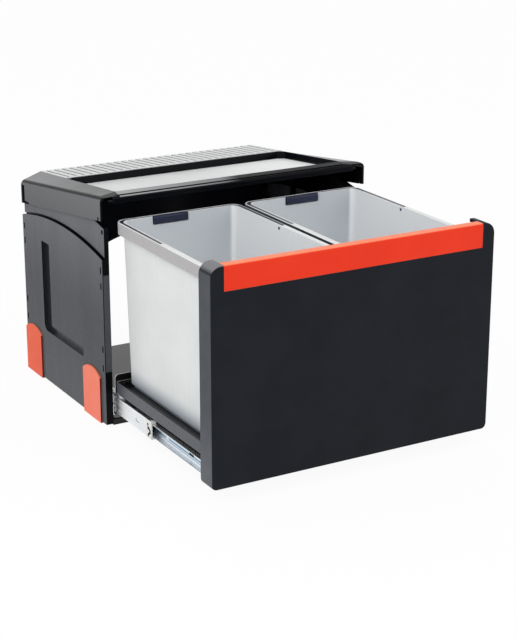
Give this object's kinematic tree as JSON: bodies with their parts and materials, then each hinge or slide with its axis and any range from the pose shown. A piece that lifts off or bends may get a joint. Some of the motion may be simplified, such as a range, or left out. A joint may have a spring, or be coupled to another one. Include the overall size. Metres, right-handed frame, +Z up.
{
  "type": "pull-out waste bin unit",
  "caption": "Low housing on the floor with a drawer that slides out on ball-bearing slides and carries lift-out bins with bail handles, under a sloping lid with a sunk tray.",
  "frame": {"origin": "on the floor, at the centre of the four floor-screw slots, which is the middle of the housing", "axes": "+X to the right seen from the front, -Y towards the front, where the drawer comes out, +Z up"},
  "size_m": [0.4446, 0.62, 0.3451],
  "materials": {
    "housing_black": "gloss black moulding",
    "wall_grey": "dark grey satin gloss",
    "base_black": "gloss black paint",
    "orange": "satin orange",
    "panel_dark": "fine matt anthracite",
    "tray_grey": "satin dark grey",
    "mat_pale": "matt pale grey",
    "bin_grey": "fine matt light grey",
    "handle_blue": "satin dark blue grey",
    "slide_zinc": "bright zinc plating",
    "screw_zinc": "zinc plated",
    "ball_steel": "polished",
    "stop_white": "natural nylon"
  },
  "bodies": {
    "housing": {"base_plate": "base_black", "side_wall_left": "wall_grey", "side_wall_right": "wall_grey", "foot_front_left": "orange", "foot_front_right": "orange", "foot_rear_left": "orange", "foot_rear_right": "orange", "lid": "housing_black", "tray_mat": "mat_pale", "shelf_mat": "mat_pale", "rear_frame": "housing_black", "outer_rail_left": "slide_zinc", "outer_rail_right": "slide_zinc", "rail_screws_left": "screw_zinc", "rail_screws_right": "screw_zinc"},
    "drawer": {"inner_rail_left": "slide_zinc", "inner_rail_right": "slide_zinc", "tray_screws_left": "screw_zinc", "tray_screws_right": "screw_zinc", "bin_tray": "tray_grey", "front_panel": "panel_dark", "grip_strip": "orange", "panel_bracket_left": "slide_zinc", "panel_bracket_right": "slide_zinc", "bracket_screws_left": "screw_zinc", "bracket_screws_right": "screw_zinc"},
    "slide_left": {"intermediate_rail_left": "slide_zinc", "slide_stop_left": "stop_white"},
    "outer_cage_left": {"outer_cage_left": "slide_zinc", "outer_balls_left": "ball_steel"},
    "inner_cage_left": {"inner_cage_left": "slide_zinc", "inner_balls_left": "ball_steel"},
    "bin_left": {"bin_left": "bin_grey"},
    "handle_left": {"handle_left": "handle_blue"},
    "slide_right": {"intermediate_rail_right": "slide_zinc", "slide_stop_right": "stop_white"},
    "outer_cage_right": {"outer_cage_right": "slide_zinc", "outer_balls_right": "ball_steel"},
    "inner_cage_right": {"inner_cage_right": "slide_zinc", "inner_balls_right": "ball_steel"},
    "bin_right": {"bin_right": "bin_grey"},
    "handle_right": {"handle_right": "handle_blue"}
  },
  "joints": [
    {"name": "drawer_slide", "type": "slide", "parent": "housing", "child": "drawer", "axis": [0, -1, 0], "range_m": [-0.294, 0]},
    {"name": "slide_left_travel", "type": "slide", "parent": "housing", "child": "slide_left", "axis": [0, -1, 0], "range_m": [-0.147, 0]},
    {"name": "outer_cage_left_travel", "type": "slide", "parent": "housing", "child": "outer_cage_left", "axis": [0, -1, 0], "range_m": [-0.0735, 0]},
    {"name": "inner_cage_left_travel", "type": "slide", "parent": "housing", "child": "inner_cage_left", "axis": [0, -1, 0], "range_m": [-0.2205, 0]},
    {"name": "bin_left_lift", "type": "slide", "parent": "drawer", "child": "bin_left", "axis": [0, 0, 1], "range_m": [0, 0.28]},
    {"name": "handle_left_swing", "type": "hinge", "parent": "bin_left", "child": "handle_left", "pos_m": [-0.1025, -0.288, 0.3055], "axis": [1, 0, 0], "range_deg": [0, 90]},
    {"name": "slide_right_travel", "type": "slide", "parent": "housing", "child": "slide_right", "axis": [0, -1, 0], "range_m": [-0.147, 0]},
    {"name": "outer_cage_right_travel", "type": "slide", "parent": "housing", "child": "outer_cage_right", "axis": [0, -1, 0], "range_m": [-0.0735, 0]},
    {"name": "inner_cage_right_travel", "type": "slide", "parent": "housing", "child": "inner_cage_right", "axis": [0, -1, 0], "range_m": [-0.2205, 0]},
    {"name": "bin_right_lift", "type": "slide", "parent": "drawer", "child": "bin_right", "axis": [0, 0, 1], "range_m": [0, 0.28]},
    {"name": "handle_right_swing", "type": "hinge", "parent": "bin_right", "child": "handle_right", "pos_m": [0.1025, -0.288, 0.3055], "axis": [1, 0, 0], "range_deg": [0, 90]}
  ],
  "couplings": [
    {"joint": "slide_left_travel", "follows": "drawer_slide", "ratio": 0.5},
    {"joint": "outer_cage_left_travel", "follows": "drawer_slide", "ratio": 0.25},
    {"joint": "inner_cage_left_travel", "follows": "drawer_slide", "ratio": 0.75},
    {"joint": "slide_right_travel", "follows": "drawer_slide", "ratio": 0.5},
    {"joint": "outer_cage_right_travel", "follows": "drawer_slide", "ratio": 0.25},
    {"joint": "inner_cage_right_travel", "follows": "drawer_slide", "ratio": 0.75}
  ]
}
